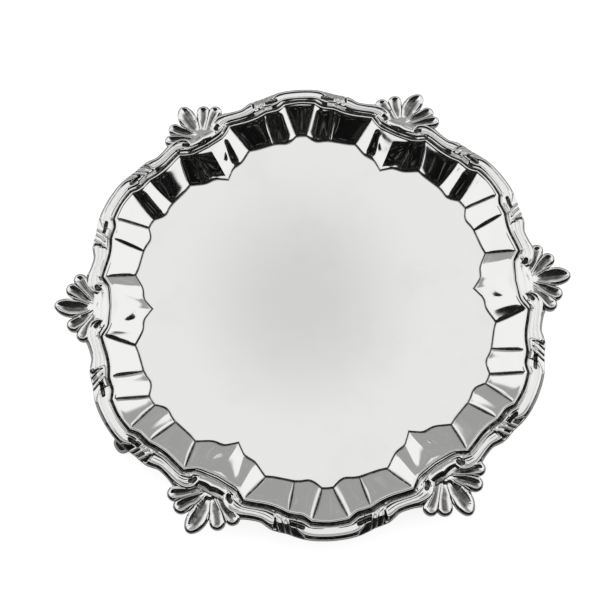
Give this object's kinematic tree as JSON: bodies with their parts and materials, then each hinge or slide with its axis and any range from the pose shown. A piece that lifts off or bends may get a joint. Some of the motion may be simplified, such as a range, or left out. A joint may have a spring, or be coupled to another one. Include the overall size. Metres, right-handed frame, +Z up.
{
  "type": "footed silver salver",
  "caption": "Round lobed silver tray with a fluted wall and a cast scroll-and-shell border, on low scroll feet; it carries glasses or small serving pieces.",
  "frame": {"origin": "centre of the salver on the surface that its feet stand on", "axes": "+Z up; +X through the middle of shell 1"},
  "size_m": [0.216, 0.2004, 0.0241],
  "materials": {
    "tray_silver": "polished silver with fine polishing marks and light age",
    "border_silver": "polished cast silver, darker in the recesses",
    "foot_silver": "cast silver, less polished than the tray"
  },
  "bodies": {
    "root": {"tray_plate": "tray_silver", "shell_1": "border_silver", "rim_scroll_1_left": "border_silver", "rim_scroll_1_right": "border_silver", "lobe_scroll_1": "border_silver", "shell_2": "border_silver", "rim_scroll_2_left": "border_silver", "rim_scroll_2_right": "border_silver", "lobe_scroll_2": "border_silver", "shell_3": "border_silver", "rim_scroll_3_left": "border_silver", "rim_scroll_3_right": "border_silver", "lobe_scroll_3": "border_silver", "shell_4": "border_silver", "rim_scroll_4_left": "border_silver", "rim_scroll_4_right": "border_silver", "lobe_scroll_4": "border_silver", "shell_5": "border_silver", "rim_scroll_5_left": "border_silver", "rim_scroll_5_right": "border_silver", "lobe_scroll_5": "border_silver", "shell_6": "border_silver", "rim_scroll_6_left": "border_silver", "rim_scroll_6_right": "border_silver", "lobe_scroll_6": "border_silver", "foot_1": "foot_silver", "foot_2": "foot_silver", "foot_3": "foot_silver", "foot_4": "foot_silver"}
  },
  "joints": []
}
